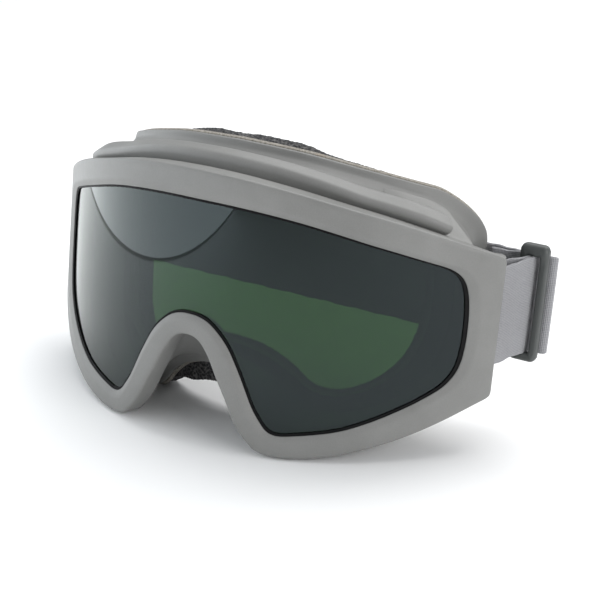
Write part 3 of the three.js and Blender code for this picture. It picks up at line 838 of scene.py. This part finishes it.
# glued face: points no deeper than 0.3 mm behind the carrier
def depth_of(s):
    x = s[..., 0]
    a = np.arcsin(np.clip(x / 83.5, -0.98, 0.98))
    return np.hypot(s[..., 0], 108.1 - s[..., 1])
r = np.hypot(fs[..., 0], 108.1 - fs[..., 1])
pin = ((83.5 - r) < P0 + 0.35).ravel()
moved = inflate(pad, pin, 0.0009)
print("foam pad moved up to", round(moved, 2), "mm before the cap")
sub = pad.modifiers.new("subdivide", "SUBSURF")
sub.levels = sub.render_levels = 1
bpy.context.view_layer.objects.active = pad
bpy.ops.object.modifier_apply(modifier="subdivide")
co = np.empty(len(pad.data.vertices) * 3, np.float32)
pad.data.vertices.foreach_get("co", co)
co = co.reshape(-1, 3)
nor = np.array([v.normal[:] for v in pad.data.vertices])
rough = rng.normal(0, 1, len(co))
co = co + nor * (rough * 0.00011)[:, None]
pad.data.vertices.foreach_set("co", co.astype(np.float32).ravel())
pad.data.update()
pad.data.shade_smooth()
dress(pad, foam_look, "frame", "face_foam", "foam_pad")


# ---- webbing --------------------------------------------------------------------------------------------------------------
def tape(name, path, z, drop, step=0.7, thick=1.4, seam=()):
    """Webbing on edge along a plan path, with soft rounded selvedges and a gentle cross ripple."""
    probe = spline(path, 400)
    length = float(np.sum(np.linalg.norm(np.diff(probe, axis=0), axis=1)))
    mid = spline(path, max(12, int(length / step)))
    d = np.gradient(mid, axis=0)
    d /= np.linalg.norm(d, axis=1, keepdims=True)
    nrm = np.stack([-d[:, 1], d[:, 0]], -1)
    z0, z1 = z
    hw, ht = (z1 - z0) / 2, thick / 2
    zc = (z0 + z1) / 2
    # the closed section: (offset across the thickness, height)
    ribs = 26
    zs = np.linspace(-hw + 0.5, hw - 0.5, ribs)
    side = [(ht, v) for v in zs]
    a = np.linspace(0, math.pi, 7)[1:-1]
    topc = [(ht * math.cos(t), hw - 0.5 + 0.5 * math.sin(t)) for t in a]
    other = [(-ht, v) for v in zs[::-1]]
    lowc = [(-ht * math.cos(t), -hw + 0.5 - 0.5 * math.sin(t)) for t in a]
    loop = np.array(side + topc + other + lowc)
    s = np.linspace(0, length, len(mid))
    ripple = 0.10 * np.sin(s / 1.9) + 0.07 * np.sin(s / 0.83 + 1.1)
    edge_wave = 0.16 * np.sin(s / 2.3 + 0.6) + 0.1 * np.sin(s / 0.9)
    off = loop[None, :, 0] * (1 + 0 * s[:, None]) + (ripple[:, None] * np.cos(loop[None, :, 1] / hw * 1.2) * 0.8)
    zz = zc + loop[None, :, 1] * (1 + 0 * s[:, None]) + edge_wave[:, None] * (loop[None, :, 1] / hw)
    fall = drop * (1 - smoothstep(mid[:, 1], 57, 67.5)) if drop else np.zeros(len(mid))
    p = np.stack([mid[:, None, 0] + nrm[:, None, 0] * off, mid[:, None, 1] + nrm[:, None, 1] * off, zz - fall[:, None]], -1)
    uv = np.stack([np.repeat(s[:, None], len(loop), 1) / 10, (zz + 0 * s[:, None]) / 10], -1).reshape(-1, 2)
    return rod(name, p, uv=uv)


STRAP_Z = (-17.6, 17.0)
ARC = lambda side: [[side * (84.5 + 2.85 * math.cos(math.radians(t))), 56.5 + 2.85 * math.sin(math.radians(t))] for t in np.linspace(-32, -228, 9)]
band = tape("headband_webbing", [[93.35, 72.0], [93.5, 72.8], [94.5, 73.45], [96.4, 73.5], [98.3, 73.4], [99.55, 74.3], [98.3, 75.3], [94, 75.35], [80, 75.2], [40, 75.2], [0, 75.2], [-40, 75.2], [-80, 75.2], [-92, 75.3], [-97.4, 74.9], [-99.3, 72.6], [-97.2, 69.6], [-94.6, 66.9], [-92.7, 64.5]], STRAP_Z, 2.3)
tail = tape("headband_tail", [[91.75, 72.2], [91.7, 72.7], [91.3, 73.3], [89.6, 73.4], [86, 72.5], [81, 70.9], [77.3, 70.2]], STRAP_Z, 0)
left = tape("side_webbing_left", [[93.35, 72.1], [93.3, 69.6], [92.5, 66.3], [90.1, 61.4]] + ARC(1) + [[85.6, 61.5], [89.2, 65.0], [91.1, 67.5], [91.75, 69.6], [91.75, 72.2]], STRAP_Z, 2.3, step=0.5)
right = tape("side_webbing_right", [[-92.7, 64.45], [-90.2, 60.6]] + ARC(-1) + [[-85.4, 61.0], [-88.2, 63.6], [-90.2, 65.9]], STRAP_Z, 2.3, step=0.5)
dress(band, web_look, "headband", "webbing", "strap_band")
dress(tail, web_look, "headband", "webbing", "strap_tail")
for o, node, y0, y1 in ((left, "strap_side_left", 60.5, 71.9), (right, "strap_side_right", 58.8, 64.2)):
    o.data.materials.clear()
    o.data.materials.append(web_look)
    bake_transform(o)
    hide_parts(node)


# ---- buckle -------------------------------------------------------------------------------------------------------------------
def rounded_rect(x0, x1, z0, z1, r, n):
    """Points round a rectangle with round corners, from the middle of its top, clockwise; n is not used."""
    pts = [[(x0 + x1) / 2, z1]]
    for cx, cz, a0 in ((x1 - r, z1 - r, 90), (x1 - r, z0 + r, 0), (x0 + r, z0 + r, -90), (x0 + r, z1 - r, -180)):
        for t in np.linspace(a0, a0 - 90, 13):
            pts.append([cx + r * math.cos(math.radians(t)), cz + r * math.sin(math.radians(t))])
    pts.append(pts[0])
    return np.array(pts)


def even(pts, marks, n):
    """Evenly spaced points between given corner marks, so two outlines match corner to corner."""
    out = []
    for a, b in zip(marks[:-1], marks[1:]):
        seg = pts[a:b + 1]
        s = np.concatenate([[0], np.cumsum(np.linalg.norm(np.diff(seg, axis=0), axis=1))])
        u = np.linspace(0, s[-1], n, endpoint=False)
        out.append(np.stack([np.interp(u, s, seg[:, j]) for j in range(2)], -1))
    return np.vstack(out)


outer = rounded_rect(88.0, 98.4, -20.3, 21.2, 2.3, 0)
inner = rounded_rect(90.7, 95.6, -17.2, 16.9, 0.7, 0)
marks = [0, 7, 20, 33, 46, len(outer) - 1]
Ob, Ib = even(outer, marks, 30), even(inner, marks, 30)
D = Ob - Ib
L = np.linalg.norm(D, axis=1)[:, None]


def bk(k, y):
    """k of the way from the slot to the outside, at depth y."""
    p = Ib + D * np.asarray(k).reshape(-1, 1) if np.ndim(k) else Ib + D * k
    return np.stack([p[:, 0], np.zeros(len(p)) + y, p[:, 1]], -1)


swell = 0.45 * (smoothstep(Ob[:, 1], 17.0, 20.0) + smoothstep(-Ob[:, 1], 16.5, 19.5))
inb, outb = np.minimum(0.5, 0.35 / L[:, 0] * 1.0), 1.0
sections = np.stack([bk(0.0, 68.95), bk(0.22, 68.55 - swell), bk(0.75, 68.55 - swell), bk(1.0, 69.2), bk(1.0, 71.3 + swell * 0.3), bk(0.8, 71.9), bk(0.15, 71.8), bk(0.0, 71.4)], 1)
sections = densify(fillet(sections, [0.4, 0.9, 1.2, 1.0, 0.9, 0.8, 0.5, 0.3], 5), step=1.2, near=0.2)
buckle = ring("slide_buckle", sections)
dress(buckle, buckle_look, "buckle", "buckle_plastic", "buckle")

# ---- finish ---------------------------------------------------------------------------------------------------------------------
bpy.context.view_layer.update()
